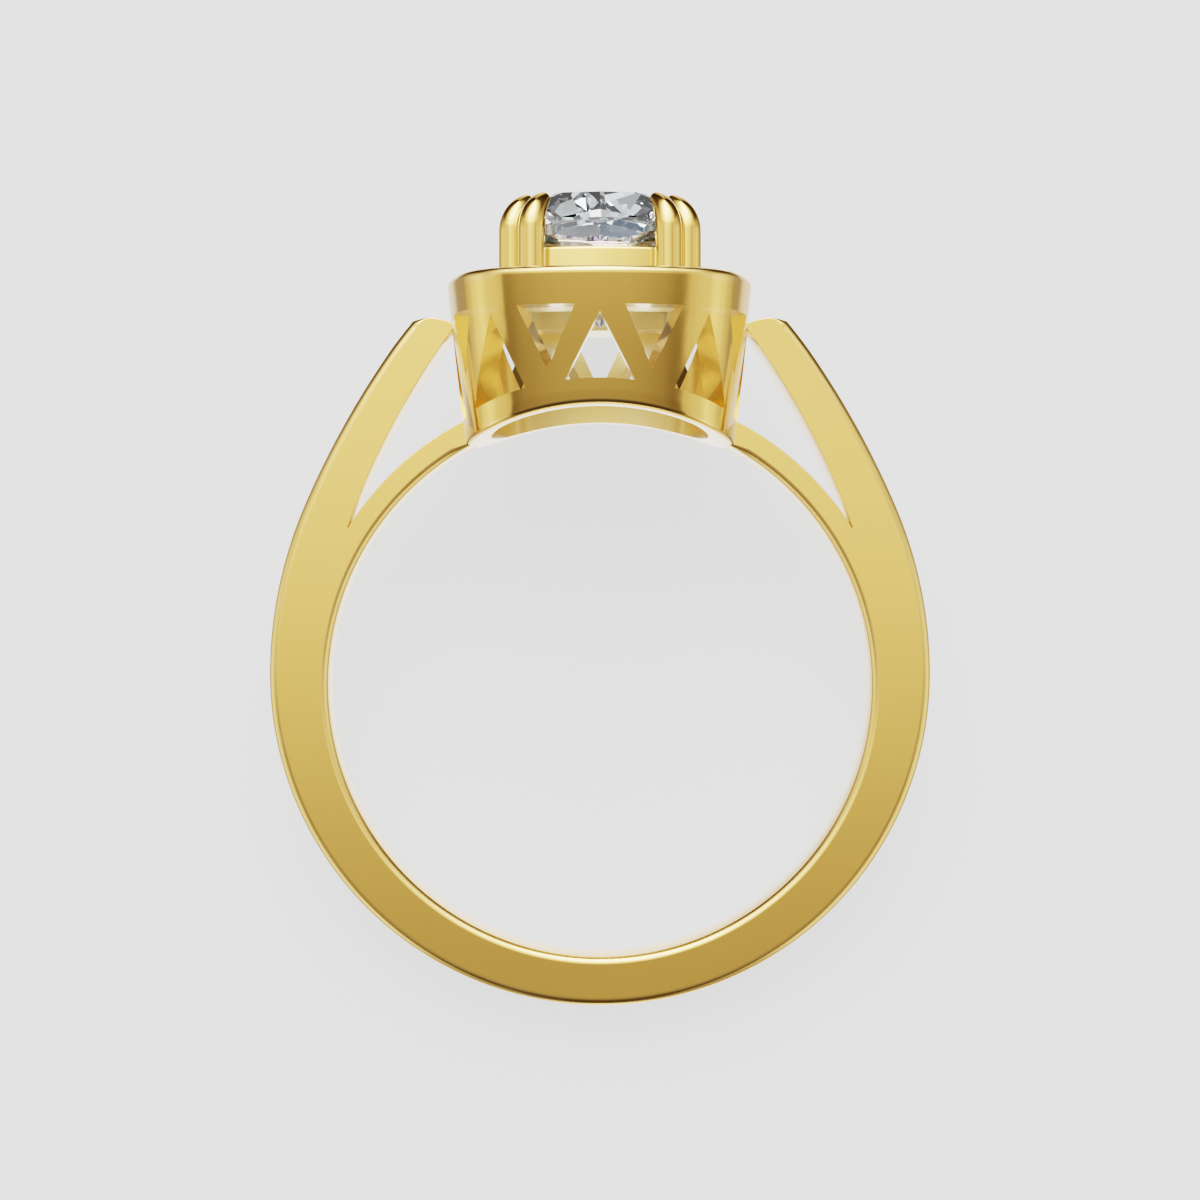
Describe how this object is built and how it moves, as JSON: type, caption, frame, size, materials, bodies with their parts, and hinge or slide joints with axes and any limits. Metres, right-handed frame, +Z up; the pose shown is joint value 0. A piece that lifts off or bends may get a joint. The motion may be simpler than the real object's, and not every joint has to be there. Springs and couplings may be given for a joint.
{
  "type": "halo ring",
  "caption": "Yellow gold finger ring, lying on its side: a cushion-cut stone in claws over a flat halo of small stones, on a gallery pierced with triangles between split cathedral shoulders.",
  "frame": {"origin": "centre of the bounding box's underside, on the surface the ring lies on", "axes": "+Y from the bottom of the band towards the head, +X across the ring, +Z up from the surface it lies on"},
  "size_m": [0.0206, 0.0253, 0.0097],
  "materials": {
    "gold": "polished yellow gold",
    "stone": "clear cut stone"
  },
  "bodies": {
    "root": {"ring_mount": "gold", "centre_stone": "stone", "halo_stone_1": "stone", "halo_stone_2": "stone", "halo_stone_3": "stone", "halo_stone_4": "stone", "halo_stone_5": "stone", "halo_stone_6": "stone", "halo_stone_7": "stone", "halo_stone_8": "stone", "halo_stone_9": "stone", "halo_stone_10": "stone", "halo_stone_11": "stone", "halo_stone_12": "stone", "halo_stone_13": "stone", "halo_stone_14": "stone", "halo_stone_15": "stone", "halo_stone_16": "stone", "halo_stone_17": "stone", "halo_stone_18": "stone", "halo_stone_19": "stone", "halo_stone_20": "stone"}
  },
  "joints": []
}
